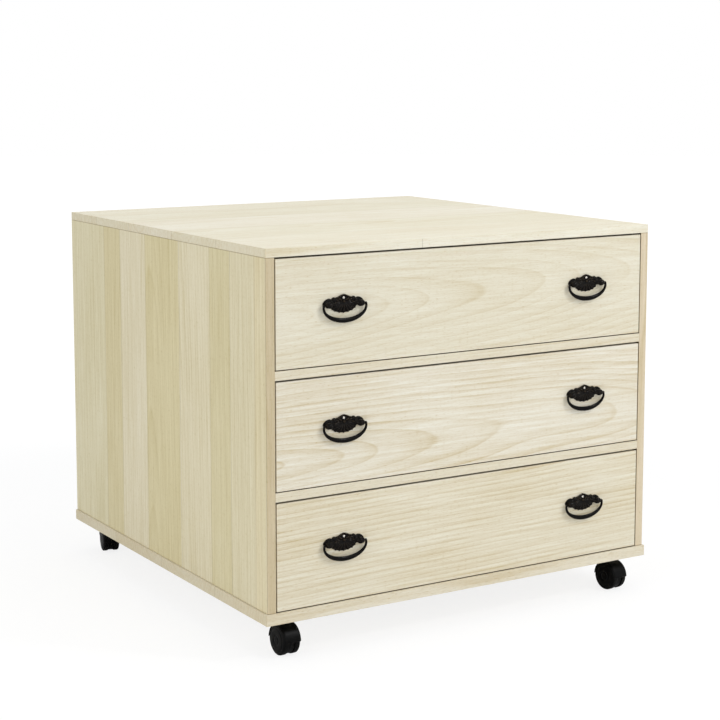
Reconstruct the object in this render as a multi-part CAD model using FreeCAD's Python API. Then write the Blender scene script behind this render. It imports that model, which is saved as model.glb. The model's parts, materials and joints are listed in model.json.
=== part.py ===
import FreeCAD, Part
import math
import os

Vector = FreeCAD.Vector

# A low square chest of three wide drawers, boarded in pale wood and standing on four casters.
# Millimetres: X runs to the right, Y to the back and Z up. The origin is on the floor,
# under the middle of the base board.
chest_width = 750.0
chest_depth = 750.0
chest_height = 640.0
overrun = 3.0  # how far every cutter runs past the faces that it opens

# Boards of the case
top_thickness = 14.0
side_thickness = 15.0
base_thickness = 18.0
base_lip = 3.0  # the base stands out this far from the case at the front, left and right
back_thickness = 5.5
rabbet_width = 7.0  # how far the back panel is let into the boards around it
tongue_thickness = 6.0
tongue_length = 6.0
tongue_setback = 14.0  # the tongues of the sides stop short of the front, where they would show
glue_gap = 0.1

# Rails and runners between the drawers
rail_height = 14.5
front_rail_depth = 58.0
rear_rail_depth = 40.0
housing_depth = 5.0
housing_setback = 12.0
runner_reach = 20.0  # from the side panel's inner face to the runner's edge
tenon_length = 8.0
tenon_thickness = 5.0

# Drawers
drawer_names = ("lower", "middle", "upper")
front_thickness = 20.0
front_top_gap = 2.8
front_bottom_gap = 1.6
drawer_side_gap = 1.75
slide_gap = 0.3
wall_thickness = 12.0  # sides and back of a drawer
wall_drop = 3.0  # the walls end this far below the top edge of the front
drawer_rear_gap = 10.0
finger_count = 5
front_lap = 8.0  # wood left in front of the finger joints
bottom_thickness = 7.0
bottom_height = 10.0  # underside of the bottom above the lower edge of the drawer's sides
groove_depth = 5.0
batten_width = 45.0
batten_thickness = 7.5

# Handles: heights are from the bail's axis, widths from the middle of the handle
handle_inset = 118.25  # from the end of the drawer front to the middle of the handle
handle_rise = 9.0  # bail axis above the middle of the drawer front
plate_thickness = 1.6
shell_half_width = 25.0
shell_drop = 13.4  # lower notches of the shell below its widest line
shell_sag = 1.0  # widest line of the shell below the bail's axis
shell_bulge = 1.6  # how far each lobe swells past its two notches
lobe_count = 9
lobe_chords = 4
crown_height = 15.5
# crown outline from the shell's end to its peak: arc middle, arc end, as shares of
# the shell's half width and of the crown's height
crown_shares = (
    ((1.03, 0.24), (0.84, 0.46)),
    ((0.70, 0.84), (0.47, 0.68)),
    ((0.20, 0.82), (0.0, 1.0)),
)
flute_hub_height = 4.0
flute_start = 5.6  # distance from the hub to where the flutes begin
flute_start_radius = 0.8
flute_end_radius = 2.3
flute_sides = 6
crown_flute_share = 0.75  # radius of the crown's flutes to that of the shell's
flute_reach_share = 0.93  # of the way from the hub to the outline
pivot_stand = 6.0  # bail axis in front of the drawer front
hub_radius = 2.6
hub_rise = 4.6  # of the hub's face above the drawer front
hub_sides = 8
ear_radius = 5.8
ear_end_radius = 3.4
ear_root = 4.5  # how far an ear reaches in over the shell
ear_gap = 0.3  # between an ear and the bail that swings round it
ear_sides = 12
# an ear's swell: how far along it, and its radius there, as shares of its length and radius
ear_shares = ((0.0, 0.42), (0.25, 0.88), (0.6, 1.0), (0.85, 0.88))
neck_height = 4.0  # of the post behind an ear
spike_side = 2.4
spike_length = 12.0
nail_height = 9.5
nail_side = 1.8
nail_length = 14.0
nail_head_width = 4.8
nail_head_sides = 8
nail_head_height = 1.2

# Bail: a crescent that is thickest at the bottom
bail_half_width = 40.0
bail_drop = 29.5
bail_shoulder = 4.0  # the bail is widest this far below its axis
bail_end_width = 3.6
bail_middle_width = 6.8
bail_depth = 4.6
bail_pin_radius = 1.4
bail_pin_reach = 10.5  # length of the pin from the inside of the bail's end
bail_pin_clearance = 0.08
pin_end_gap = 0.5
bar_sides = 8
bail_steps = 10  # from the bottom of the bail to either end
eye_taper_share = 0.6

# Casters: each turns about a fixed stem, and its wheels run on an axle set off from the stem
stem_inset = 49.0
caster_trail = 16.0
wheel_radius = 24.0
wheel_width = 11.0
wheel_dome = 3.6  # width of the sloping shoulder
wheel_cap_radius = 19.0
round_sides = 40  # the wheels and the hood over them are drawn as many-sided discs
small_round_sides = 20  # and the pins and bosses as many-sided bars in round holes
twin_width = 32.0  # over both wheels
wheel_gap = 0.4
axle_radius = 2.5
axle_clearance = 0.06
axle_seat_clearance = 0.02
axle_length = 27.0
axle_end_gap = 0.4
hood_width = 31.0
hood_gap = 0.8
hood_thickness = 1.4
hood_shoulder = 3.0  # width of the slope at either side of the hood
hood_shoulder_drop = 2.6
web_radius = 20.5  # round web between the wheels
stem_rise = 9.8  # from the top of the hood to the base board
boss_radius = 7.5
stem_radius = 3.5
stem_clearance = 0.06
stem_length = 24.0
collar_flats = 13.0
collar_height = 4.0
collar_gap = 0.4
thread_radius = 4.0
thread_clearance = 0.05
thread_length = 14.0
nut_flats = 12.0
nut_length = 15.0
# where each caster points at rest, in degrees about its stem
caster_degrees = {"front_left": 1.0, "front_right": 5.0, "rear_left": 166.0, "rear_right": 205.0}

# Heights and faces that follow from the sizes above
hood_inside = wheel_radius + hood_gap
hood_outside = hood_inside + hood_thickness
caster_height = wheel_radius + hood_outside + stem_rise
base_top = caster_height + base_thickness
top_under = chest_height - top_thickness
case_side = chest_width / 2 - base_lip
case_front = base_lip - chest_depth / 2
case_back = chest_depth / 2
inner_side = case_side - side_thickness
back_face = case_back - back_thickness
drawer_count = len(drawer_names)
opening_height = (top_under - base_top - rail_height * (drawer_count - 1)) / drawer_count
level_pitch = opening_height + rail_height
rail_floors = [base_top + level * level_pitch - rail_height for level in range(1, drawer_count)]
front_rail_back = case_front + front_rail_depth
rear_rail_front = back_face - rear_rail_depth
housing_reach = inner_side + housing_depth


def save(name, shape):
    shape.exportStep("parts/" + name + ".step")


def block(x_low, x_high, y_low, y_high, z_low, z_high):
    corner = Vector(x_low, y_low, z_low)
    return Part.makeBox(x_high - x_low, y_high - y_low, z_high - z_low, corner)


def grown(x_low, x_high, y_low, y_high, z_low, z_high, gap):
    return block(x_low - gap, x_high + gap, y_low - gap, y_high + gap, z_low - gap, z_high + gap)


def mirrored(shape):
    return shape.mirror(Vector(0, 0, 0), Vector(1, 0, 0))


def both_sides(shape):
    return [shape, mirrored(shape)]


def tidy(shape):
    return shape.removeSplitter()


def flat_sided(rings):
    """Solid between rings of corners, closed by flat faces."""
    faces = [Part.Face(Part.makePolygon(ring + ring[:1])) for ring in (rings[0], rings[-1])]
    for low, high in zip(rings, rings[1:]):
        for side in range(-1, len(low) - 1):
            for corners in ((low[side], low[side + 1], high[side + 1]),
                            (low[side], high[side + 1], high[side])):
                faces.append(Part.Face(Part.makePolygon([*corners, corners[0]])))
    shell = Part.makeShell(faces)
    shell.sewShape()
    return tidy(Part.makeSolid(shell))


def many_sided(radius, sides, height):
    corners = [Vector(radius * math.cos(2 * math.pi * corner / sides),
                      radius * math.sin(2 * math.pi * corner / sides), 0)
               for corner in range(sides + 1)]
    return Part.Face(Part.makePolygon(corners)).extrude(Vector(0, 0, height))


def cross_bar(radius, sides, start, end, y, z):
    """A many-sided bar that runs along X from start to end."""
    bar = many_sided(radius, sides, end - start)
    bar.rotate(Vector(0, 0, 0), Vector(0, 1, 0), 90)
    return bar.translated(Vector(start, y, z))


# The case

def tongue_box(z_low, z_high, gap):
    middle = case_side - side_thickness / 2
    return grown(middle - tongue_thickness / 2, middle + tongue_thickness / 2,
                 case_front + tongue_setback, back_face - rabbet_width, z_low, z_high, gap)


def side_panel():
    board = block(inner_side, case_side, case_front, case_back, base_top, top_under)
    lower_tongue = tongue_box(base_top - tongue_length, base_top, 0)
    upper_tongue = tongue_box(top_under, top_under + tongue_length, 0)
    board = board.fuse([lower_tongue, upper_tongue])
    cuts = [block(inner_side - overrun, inner_side + rabbet_width, back_face, case_back + overrun,
                  base_top - overrun, top_under + overrun)]
    for floor in rail_floors:
        cuts.append(block(inner_side - overrun, housing_reach, case_front + housing_setback,
                          back_face + overrun, floor - glue_gap, floor + rail_height + glue_gap))
    return tidy(board.cut(cuts))


def top_panel():
    board = block(-case_side, case_side, case_front, case_back, top_under, chest_height)
    cuts = both_sides(tongue_box(top_under, top_under + tongue_length, glue_gap))
    cuts.append(block(-inner_side - rabbet_width, inner_side + rabbet_width, back_face,
                      case_back + overrun, top_under - overrun, top_under + rabbet_width))
    return tidy(board.cut(cuts))


def base_panel():
    board = block(-chest_width / 2, chest_width / 2, -chest_depth / 2, case_back,
                  caster_height, base_top)
    cuts = both_sides(tongue_box(base_top - tongue_length, base_top, glue_gap))
    cuts.append(block(-inner_side - rabbet_width, inner_side + rabbet_width, back_face,
                      case_back + overrun, base_top - rabbet_width, base_top + overrun))
    socket = hexagon(nut_flats, caster_height - overrun, overrun + nut_length)
    for place in stem_places().values():
        cuts.append(socket.translated(place))
    return tidy(board.cut(cuts))


def back_panel():
    reach = inner_side + rabbet_width - glue_gap
    return block(-reach, reach, back_face, case_back,
                 base_top - rabbet_width + glue_gap, top_under + rabbet_width - glue_gap)


def runner_tenon(y_low, y_high, floor, gap):
    """Tongue at a runner's end, in the middle of the rail's height."""
    middle = floor + rail_height / 2
    return grown(inner_side - runner_reach, inner_side, y_low, y_high,
                 middle - tenon_thickness / 2, middle + tenon_thickness / 2, gap)


def front_rail(floor):
    rail = block(-inner_side, inner_side, case_front, front_rail_back, floor, floor + rail_height)
    reach = housing_reach - glue_gap
    tenons = block(-reach, reach, case_front + housing_setback + glue_gap, front_rail_back,
                   floor, floor + rail_height)
    mortises = both_sides(runner_tenon(front_rail_back - tenon_length, front_rail_back + overrun,
                                       floor, glue_gap))
    return tidy(rail.fuse(tenons).cut(mortises))


def rear_rail(floor):
    reach = housing_reach - glue_gap
    rail = block(-reach, reach, rear_rail_front, back_face, floor, floor + rail_height)
    mortises = both_sides(runner_tenon(rear_rail_front - overrun, rear_rail_front + tenon_length,
                                       floor, glue_gap))
    return tidy(rail.cut(mortises))


def runner(floor):
    """One runner on the right, let into the side panel and tenoned into both rails."""
    bar = block(inner_side - runner_reach, housing_reach - glue_gap, front_rail_back,
                rear_rail_front, floor, floor + rail_height)
    tenons = runner_tenon(front_rail_back - tenon_length, rear_rail_front + tenon_length, floor, 0)
    return tidy(bar.fuse(tenons))


def make_case():
    save("top_panel", top_panel())
    save("base_panel", base_panel())
    save("back_panel", back_panel())
    save("right_side_panel", side_panel())
    save("left_side_panel", mirrored(side_panel()))
    for name, floor in zip(("lower", "upper"), rail_floors):
        save(name + "_front_rail", front_rail(floor))
        save(name + "_rear_rail", rear_rail(floor))
    runners = Part.makeCompound([runner(floor) for floor in rail_floors])
    save("right_runners", runners)
    save("left_runners", mirrored(runners))


# The drawers

front_back = case_front + front_thickness
drawer_side = inner_side - drawer_side_gap
wall_inside = drawer_side - wall_thickness
drawer_end = back_face - drawer_rear_gap
groove_side = wall_inside + groove_depth
groove_front = front_back - groove_depth
handle_middles = (handle_inset - drawer_side, drawer_side - handle_inset)


def finger_slots(z_low, z_high, first):
    """Heights of every second slot of a finger joint, from slot number first upwards."""
    pitch = (z_high - z_low) / finger_count
    return [(z_low + slot * pitch, z_low + (slot + 1) * pitch)
            for slot in range(first, finger_count, 2)]


# heights in the lowest drawer, which the others repeat
front_low = base_top + front_bottom_gap
front_high = base_top + opening_height - front_top_gap
wall_low = base_top + slide_gap
wall_high = front_high - wall_drop
bottom_low = wall_low + bottom_height
bottom_high = bottom_low + bottom_thickness
axis_height = (front_low + front_high) / 2 + handle_rise


def front_fingers(gap):
    """The right wall's fingers where they enter the front."""
    return [block(wall_inside - gap, drawer_side + gap, case_front + front_lap - gap,
                  front_back + gap, low, high + gap)
            for low, high in finger_slots(front_low, wall_high, 0)]


def back_fingers(gap):
    """The back's fingers where they pass through the right wall."""
    return [block(wall_inside, drawer_side + gap, drawer_end - wall_thickness - gap,
                  drawer_end + gap, low - gap, high + gap)
            for low, high in finger_slots(bottom_high, wall_high, 1)]


def bottom_board(gap):
    reach = groove_side - glue_gap + gap
    return block(-reach, reach, groove_front + glue_gap - gap, drawer_end + gap,
                 bottom_low, bottom_high)


def drawer_front():
    board = block(-drawer_side, drawer_side, case_front, front_back, front_low, front_high)
    cuts = [bottom_board(glue_gap)]
    for finger in front_fingers(glue_gap):
        cuts.extend(both_sides(finger))
    for middle in handle_middles:
        cuts.extend([hole.translated(Vector(middle, case_front, axis_height))
                     for hole in pilot_holes()])
    return tidy(board.cut(cuts))


def drawer_wall():
    """The right wall; the left one is its mirror image."""
    board = block(wall_inside, drawer_side, front_back, drawer_end, wall_low, wall_high)
    board = board.fuse(front_fingers(0))
    return tidy(board.cut(back_fingers(glue_gap) + [bottom_board(glue_gap)]))


def drawer_back():
    board = block(-wall_inside, wall_inside, drawer_end - wall_thickness, drawer_end,
                  bottom_high, wall_high)
    fingers = [piece for finger in back_fingers(0) for piece in both_sides(finger)]
    return tidy(board.fuse(fingers))


def batten():
    return block(-batten_width / 2, batten_width / 2, front_back, drawer_end,
                 bottom_low - batten_thickness, bottom_low)


def make_drawers():
    wall = drawer_wall()
    plate = handle_plate()
    pin = nail()
    ring = bail()
    places = [Vector(middle, case_front, axis_height) for middle in handle_middles]
    pieces = {
        "drawer_front": drawer_front(), "drawer_back": drawer_back(),
        "drawer_right_side": wall, "drawer_left_side": mirrored(wall),
        "drawer_bottom": bottom_board(0), "drawer_batten": batten(),
        "handle_plates": Part.makeCompound([plate.translated(place) for place in places]),
        "handle_nails": Part.makeCompound([pin.translated(place) for place in places]),
        "left_bail": ring.translated(places[0]), "right_bail": ring.translated(places[1]),
    }
    for level, drawer_name in enumerate(drawer_names):
        lift = Vector(0, 0, level * level_pitch)
        for piece_name, piece in pieces.items():
            save(drawer_name + "_" + piece_name, piece.translated(lift))


# The handles, drawn about the bail's axis where it stands over the drawer's face, and then moved

pin_hole_radius = bail_pin_radius + bail_pin_clearance
bail_inside = bail_half_width - bail_end_width
bail_inner_drop = bail_drop - bail_middle_width
ear_inner = shell_half_width - ear_root


def face_point(x, z):
    return Vector(x, 0, z)


def shell_point(turn, bulge):
    """A point of the shell's lower edge, from the left end at half a turn to the right end."""
    return face_point((shell_half_width + bulge) * math.cos(turn),
                      (shell_drop + bulge) * math.sin(turn) - shell_sag)


def lobe_middles():
    step = math.pi / lobe_count
    return [shell_point(math.pi + (lobe + 0.5) * step, shell_bulge) for lobe in range(lobe_count)]


def shell_edge():
    """Corners of the shell's lower edge: each lobe swells and falls back over its chords."""
    corners = []
    for chord in range(lobe_count * lobe_chords + 1):
        swell = math.sin(math.pi * (chord % lobe_chords) / lobe_chords)
        turn = math.pi + math.pi * chord / (lobe_count * lobe_chords)
        corners.append(shell_point(turn, shell_bulge * swell))
    return corners


def crown_point(shares, side):
    return face_point(side * shares[0] * shell_half_width, shares[1] * crown_height)


def plate_outline():
    corners = shell_edge()
    edges = [Part.makePolygon(corners)]
    for side, start in ((1, corners[-1]), (-1, corners[0])):
        for middle_shares, end_shares in crown_shares:
            end = crown_point(end_shares, side)
            edges.append(Part.Arc(start, crown_point(middle_shares, side), end).toShape())
            start = end
    pieces = [edge for piece in edges for edge in piece.Edges]
    return Part.Wire(Part.sortEdges(pieces)[0])


def flute(start, end, start_radius, end_radius):
    """A six-sided rib that lies along the plate and widens from its start to its end."""
    across = Vector(end - start).cross(Vector(0, 1, 0)).normalize()
    rings = []
    for point, radius in ((start, start_radius), (end, end_radius)):
        turns = [2 * math.pi * corner / flute_sides for corner in range(flute_sides)]
        rings.append([point + across * (radius * math.cos(turn))
                      + Vector(0, radius * math.sin(turn), 0) for turn in turns])
    return flat_sided(rings)


def flutes():
    """Ribs that fan out from the hub to the lobes of the shell and of the crown."""
    hub = face_point(0, flute_hub_height)
    ends = [(point, flute_end_radius) for point in lobe_middles()]
    for side in (-1, 1):
        for middle_shares, end_shares in crown_shares[:-1]:
            ends.append((crown_point(middle_shares, side), flute_end_radius * crown_flute_share))
    ribs = []
    for end, radius in ends:
        toward = end - hub
        start = hub + Vector(toward).normalize() * flute_start
        ribs.append(flute(start, hub + toward * flute_reach_share, flute_start_radius, radius))
    return ribs


def arc_point(half_width, drop, share):
    """A point of the bail's outer or inner arc, share of the way from its bottom to its end."""
    rise = drop - bail_shoulder
    turn = share * (math.pi / 2 + math.asin(bail_shoulder / rise))
    return face_point(half_width * math.sin(turn), -bail_shoulder - rise * math.cos(turn))


bail_end_outside = arc_point(bail_half_width, bail_drop, 1).x
bail_end_inside = arc_point(bail_inside, bail_inner_drop, 1).x
bail_end_middle = (bail_end_outside + bail_end_inside) / 2
ear_outer = bail_end_inside - ear_gap
spike_outer = ear_outer - ear_end_radius


def swing_radius(x):
    """How far from its axis the bail's inner arc passes the place x."""
    rise = bail_inner_drop - bail_shoulder
    return bail_shoulder + rise * math.sqrt(1 - (x / bail_inside) ** 2)


def ear_ring(radius, x):
    turns = [2 * math.pi * side / ear_sides for side in range(ear_sides)]
    return [Vector(x, radius * math.cos(turn) - pivot_stand, radius * math.sin(turn))
            for turn in turns]


def ear():
    """The right-hand ear: an egg-shaped boss around one pin of the bail, on a post."""
    rings = []
    for along_share, radius_share in ear_shares:
        x = ear_inner + along_share * (ear_outer - ear_inner)
        rings.append(ear_ring(min(radius_share * ear_radius, swing_radius(x + ear_gap)), x))
    rings.append(ear_ring(ear_end_radius, ear_outer))
    post = block(ear_inner, spike_outer, -pivot_stand, 0, -neck_height / 2, neck_height / 2)
    hole = cross_bar(pin_hole_radius, ear_sides, bail_inside - bail_pin_reach - pin_end_gap,
                     ear_outer + overrun, -pivot_stand, 0)
    return tidy(flat_sided(rings).fuse(post).cut(hole))


def hub():
    """Round boss that the flutes spread from."""
    boss = many_sided(hub_radius, hub_sides, hub_rise)
    boss.rotate(Vector(0, 0, 0), Vector(1, 0, 0), 90)
    return boss.translated(face_point(0, flute_hub_height))


def spike(gap):
    """Square spike behind the right-hand ear, driven into the drawer front."""
    return grown(spike_outer - spike_side, spike_outer, 0, spike_length,
                 -spike_side / 2, spike_side / 2, gap)


def shank(start, gap):
    half = nail_side / 2
    return grown(-half, half, start, nail_length, nail_height - half, nail_height + half, gap)


def handle_plate():
    slab = Part.Face(plate_outline()).extrude(Vector(0, -plate_thickness, 0))
    reach = bail_half_width
    room = block(-reach, reach, -reach, 0, -reach, reach)
    ribs = Part.makeCompound(flutes())
    ribs.translate(Vector(0, -plate_thickness, 0))
    bosses = [rib.common(room) for rib in ribs.Solids] + both_sides(ear()) + [hub()]
    plate = slab.fuse(bosses)
    return tidy(plate.fuse(both_sides(spike(0))).cut(shank(-plate_thickness - overrun, glue_gap)))


def nail():
    """Square nail with a forged, many-sided head that sits on the plate."""
    head = many_sided(nail_head_width / 2, nail_head_sides, nail_head_height)
    head.rotate(Vector(0, 0, 0), Vector(1, 0, 0), 90)
    head.translate(Vector(0, -plate_thickness, nail_height))
    return tidy(shank(-plate_thickness, 0).fuse(head))


def pilot_holes():
    """Holes in a drawer front for one plate's two spikes and its nail."""
    return [shank(-overrun, glue_gap)] + both_sides(spike(glue_gap))


def bail_ring(share):
    """Corners of the bail's bar, share of the way from its bottom to its right-hand end."""
    outer = arc_point(bail_half_width, bail_drop, share)
    inner = arc_point(bail_inside, bail_inner_drop, share)
    return bar_ring((outer + inner) * 0.5, (outer - inner) * 0.5)


def bar_ring(middle, half_width):
    depth = min(half_width.Length, bail_depth / 2)
    turns = [math.pi * (2 * side + 1) / bar_sides for side in range(bar_sides)]
    return [middle + half_width * math.cos(turn) + Vector(0, depth * math.sin(turn), 0)
            for turn in turns]


def bail():
    """A crescent bar, thickest at the bottom, with a pin turned inward at each end."""
    eye = bail_end_width / 2
    cap = bar_ring(face_point(bail_end_middle, eye), face_point(eye * eye_taper_share, 0))
    shares = [step / bail_steps for step in range(-bail_steps, bail_steps + 1)]
    rings = [bail_ring(share) for share in shares]
    mirrored_cap = bar_ring(face_point(-bail_end_middle, eye),
                            face_point(-eye * eye_taper_share, 0))
    bar = flat_sided([mirrored_cap] + rings + [cap])
    pin = cross_bar(bail_pin_radius, bar_sides, bail_inside - bail_pin_reach,
                    bail_end_middle, 0, 0)
    piece = bar.fuse(both_sides(pin))
    return tidy(piece).translated(Vector(0, -pivot_stand, 0))


# The casters, drawn about their stems with the wheels in front, then turned and moved

def stem_places():
    x = chest_width / 2 - stem_inset
    y = chest_depth / 2 - stem_inset
    return {"front_left": Vector(-x, -y, 0), "front_right": Vector(x, -y, 0),
            "rear_left": Vector(-x, y, 0), "rear_right": Vector(x, y, 0)}


def hexagon(flats, low, height):
    return many_sided(flats / math.sqrt(3), 6, height).translated(Vector(0, 0, low))


def upright_bar(radius, low, height):
    return many_sided(radius, small_round_sides, height).translated(Vector(0, 0, low))


boss_top = caster_height - collar_height - collar_gap
web_half = twin_width / 2 - wheel_width - wheel_gap
along = Vector(1, 0, 0)


def axle_point(x):
    return Vector(x, -caster_trail, wheel_radius)


def axle_ring(radius, x):
    """Corners of a many-sided disc around the axle's line, with a flat at the bottom."""
    turns = [math.pi * (2 * side + 1) / round_sides for side in range(round_sides)]
    reach = radius / math.cos(math.pi / round_sides)
    return [axle_point(x) + Vector(0, reach * math.cos(turn), reach * math.sin(turn))
            for turn in turns]


def disc(radius, low, high):
    return flat_sided([axle_ring(radius, low), axle_ring(radius, high)])


def wheel():
    """The right wheel: a flat tread, a sloping shoulder and a blind hole for the axle."""
    inside = twin_width / 2 - wheel_width
    outside = twin_width / 2
    body = flat_sided([axle_ring(wheel_radius, inside),
                       axle_ring(wheel_radius, outside - wheel_dome),
                       axle_ring(wheel_cap_radius, outside)])
    hole = Part.makeCylinder(axle_radius + axle_clearance,
                             axle_length / 2 + axle_end_gap - inside + overrun,
                             axle_point(inside - overrun), along)
    return body.cut(hole)


def sloped_disc(radius, half):
    """Disc with sloping shoulders, half as wide on each side of the caster's middle."""
    edge = radius - hood_shoulder_drop
    return flat_sided([axle_ring(edge, -half), axle_ring(radius, hood_shoulder - half),
                       axle_ring(radius, half - hood_shoulder), axle_ring(edge, half)])


def hood():
    """Web between the wheels, mudguard over both and the boss that turns on the stem."""
    half = hood_width / 2
    reach = hood_outside + overrun
    below = block(-half - overrun, half + overrun, -caster_trail - reach, -caster_trail + reach,
                  -overrun, wheel_radius)
    dome = sloped_disc(hood_outside, half).cut(below)
    web = cross_bar(web_radius, small_round_sides, -web_half, web_half,
                    -caster_trail, wheel_radius)
    boss = upright_bar(boss_radius, wheel_radius, boss_top - wheel_radius)
    web_room = block(-web_half, web_half, -caster_trail - reach, -caster_trail + reach,
                     -overrun, caster_height)
    mouths = both_sides(disc(hood_inside - hood_shoulder_drop, half - hood_shoulder,
                             half + overrun))
    wells = [sloped_disc(hood_inside, half).cut(web_room)] + mouths
    stem_hole = Part.makeCylinder(stem_radius + stem_clearance, stem_length + overrun,
                                  Vector(0, 0, boss_top - stem_length))
    axle_hole = Part.makeCylinder(axle_radius + axle_seat_clearance, hood_width,
                                  axle_point(-half), along)
    return tidy(dome.fuse([web, boss]).cut(wells + [stem_hole, axle_hole]))


def axle():
    return cross_bar(axle_radius, small_round_sides, -axle_length / 2, axle_length / 2,
                     -caster_trail, wheel_radius)


def stem():
    """Fixed stem: the pin that the hood turns on, a hexagon collar and the threaded end."""
    pin_low = boss_top - stem_length + collar_gap
    pin = upright_bar(stem_radius, pin_low, caster_height - pin_low)
    collar = hexagon(collar_flats, caster_height - collar_height, collar_height)
    thread = upright_bar(thread_radius, caster_height, thread_length)
    return tidy(pin.fuse([collar, thread]))


def insert_nut():
    """Six-sided nut driven into the base board, flush with its underside."""
    hole = upright_bar(thread_radius + thread_clearance, caster_height, nut_length)
    return hexagon(nut_flats, caster_height, nut_length).cut(hole)


def make_casters():
    right_wheel = wheel()
    pieces = {"hood": hood(), "axle": axle(), "right_wheel": right_wheel,
              "left_wheel": mirrored(right_wheel)}
    places = stem_places()
    for name, place in places.items():
        for piece_name, piece in pieces.items():
            turned = piece.rotated(Vector(0, 0, 0), Vector(0, 0, 1), caster_degrees[name])
            save(name + "_caster_" + piece_name, turned.translated(place))
    for name, piece in (("caster_stems", stem()), ("insert_nuts", insert_nut())):
        save(name, Part.makeCompound([piece.translated(place) for place in places.values()]))


os.makedirs("parts", exist_ok=True)
make_case()
make_drawers()
make_casters()
print("chest built")
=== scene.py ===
import json
import math
import bmesh
import bpy
from mathutils import Matrix, Vector

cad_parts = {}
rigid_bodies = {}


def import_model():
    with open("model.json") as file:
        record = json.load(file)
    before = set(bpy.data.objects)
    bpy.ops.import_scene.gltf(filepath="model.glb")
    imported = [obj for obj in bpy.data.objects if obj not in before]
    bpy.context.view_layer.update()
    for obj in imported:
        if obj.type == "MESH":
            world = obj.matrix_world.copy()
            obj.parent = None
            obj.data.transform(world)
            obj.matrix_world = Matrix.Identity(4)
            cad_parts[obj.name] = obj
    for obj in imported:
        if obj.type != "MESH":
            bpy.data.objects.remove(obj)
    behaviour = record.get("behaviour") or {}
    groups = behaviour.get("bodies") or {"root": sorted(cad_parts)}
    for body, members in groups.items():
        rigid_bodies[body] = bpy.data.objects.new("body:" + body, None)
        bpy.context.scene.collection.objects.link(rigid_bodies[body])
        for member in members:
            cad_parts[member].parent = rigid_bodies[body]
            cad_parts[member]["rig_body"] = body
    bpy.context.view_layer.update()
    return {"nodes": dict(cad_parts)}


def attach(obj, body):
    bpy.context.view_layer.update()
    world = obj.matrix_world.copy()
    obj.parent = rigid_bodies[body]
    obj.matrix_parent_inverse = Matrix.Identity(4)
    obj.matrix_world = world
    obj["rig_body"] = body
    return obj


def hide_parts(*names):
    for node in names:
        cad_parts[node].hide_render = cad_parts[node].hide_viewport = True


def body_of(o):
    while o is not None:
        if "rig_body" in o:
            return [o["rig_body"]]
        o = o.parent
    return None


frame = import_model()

# Sizes are millimetres unless a name says metres. X runs right, Y back and Z up.
mm = 0.001
scene = bpy.context.scene


# linear colour of an sRGB hex code
def linear(code):
    parts = [int(code[place:place + 2], 16) / 255 for place in (1, 3, 5)]
    return [part / 12.92 if part <= 0.04045 else ((part + 0.055) / 1.055) ** 2.4
            for part in parts] + [1.0]


# one node with its settings and the links or values of its inputs
def addNode(tree, kind, inputs, **settings):
    node = tree.nodes.new("ShaderNode" + kind)
    for name, value in settings.items():
        setattr(node, name, value)
    for key, value in inputs.items():
        if isinstance(value, bpy.types.NodeSocket):
            tree.links.new(value, node.inputs[key])
        else:
            node.inputs[key].default_value = value
    return node


# stops are (place, colour) pairs
def addRamp(tree, factor, stops, interpolation="LINEAR"):
    node = addNode(tree, "ValToRGB", {"Fac": factor})
    ramp = node.color_ramp
    ramp.interpolation = interpolation
    while len(ramp.elements) < len(stops):
        ramp.elements.new(1.0)
    while len(ramp.elements) > len(stops):
        ramp.elements.remove(ramp.elements[-1])
    for element, (place, colour) in zip(ramp.elements, stops):
        element.position = place
        element.color = colour
    return node.outputs["Color"]


# a new material's tree and its shader
def newMaterial(name):
    material = bpy.data.materials.new(name)
    material.use_nodes = True
    return material, material.node_tree, material.node_tree.nodes["Principled BSDF"]


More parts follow.
